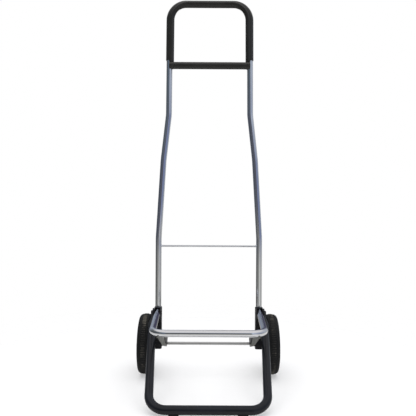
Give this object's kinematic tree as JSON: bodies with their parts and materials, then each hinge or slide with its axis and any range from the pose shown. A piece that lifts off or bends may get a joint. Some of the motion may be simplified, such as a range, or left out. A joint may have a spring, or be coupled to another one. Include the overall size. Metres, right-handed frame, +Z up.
{
  "type": "folding hand truck",
  "caption": "Light two-wheeled folding trolley frame: chromed handle frame with a black grip, a tube platform that folds up, a black front leg and rubber-tyred wheels.",
  "frame": {"origin": "on the floor, in the middle of the footprint as it stands with the platform and the leg down", "axes": "+Z up, -Y towards the front (platform and leg), X along the axle"},
  "size_m": [0.3862, 0.3734, 1.0196],
  "materials": {
    "chrome_tube": "bright chromed steel tube",
    "grip_black": "soft satin black moulded grip",
    "nylon_black": "black moulded nylon",
    "blackened_steel": "blackened steel",
    "zinc_steel": "zinc-plated steel",
    "axle_steel": "bright drawn steel rod",
    "leg_paint": "satin black powder coat",
    "rubber_black": "black rubber",
    "rim_plastic": "black moulded plastic, satin gloss",
    "tyre_rubber": "solid black rubber with a ribbed tread",
    "bush_nylon": "off-white nylon",
    "cap_plastic": "black plastic"
  },
  "bodies": {
    "frame": {"frame_tube": "chrome_tube", "handle_grip": "grip_black", "handle_crossbar": "grip_black", "crossbar_screws": "zinc_steel", "bag_rod": "chrome_tube", "bracket_left": "nylon_black", "bracket_right": "nylon_black", "pivot_bolts": "blackened_steel", "pivot_nuts": "blackened_steel", "axle": "axle_steel", "axle_spacers": "nylon_black", "axle_washers": "zinc_steel", "axle_clips": "zinc_steel"},
    "platform": {"platform_tube": "chrome_tube", "platform_plugs": "nylon_black", "stay_left": "zinc_steel", "stay_right": "zinc_steel", "stay_hooks": "nylon_black"},
    "leg": {"leg_tube": "leg_paint", "foot_pads": "rubber_black"},
    "wheel_left": {"rim_left": "rim_plastic", "tyre_left": "tyre_rubber", "bush_left": "bush_nylon", "hub_cap_left": "cap_plastic"},
    "wheel_right": {"rim_right": "rim_plastic", "tyre_right": "tyre_rubber", "bush_right": "bush_nylon", "hub_cap_right": "cap_plastic"}
  },
  "joints": [
    {"name": "platform_fold", "type": "hinge", "parent": "frame", "child": "platform", "pos_m": [0, 0.07875, 0.17], "axis": [-1, 0, 0], "range_deg": [0, 90]},
    {"name": "leg_fold", "type": "hinge", "parent": "frame", "child": "leg", "pos_m": [0, 0.07875, 0.17], "axis": [-1, 0, 0], "range_deg": [0, 100]},
    {"name": "wheel_left_spin", "type": "hinge", "parent": "frame", "child": "wheel_left", "pos_m": [-0.1705, 0.10675, 0.08], "axis": [1, 0, 0], "continuous": true},
    {"name": "wheel_right_spin", "type": "hinge", "parent": "frame", "child": "wheel_right", "pos_m": [0.1705, 0.10675, 0.08], "axis": [1, 0, 0], "continuous": true}
  ],
  "couplings": [
    {"joint": "leg_fold", "follows": "platform_fold", "ratio": 1.1111}
  ]
}
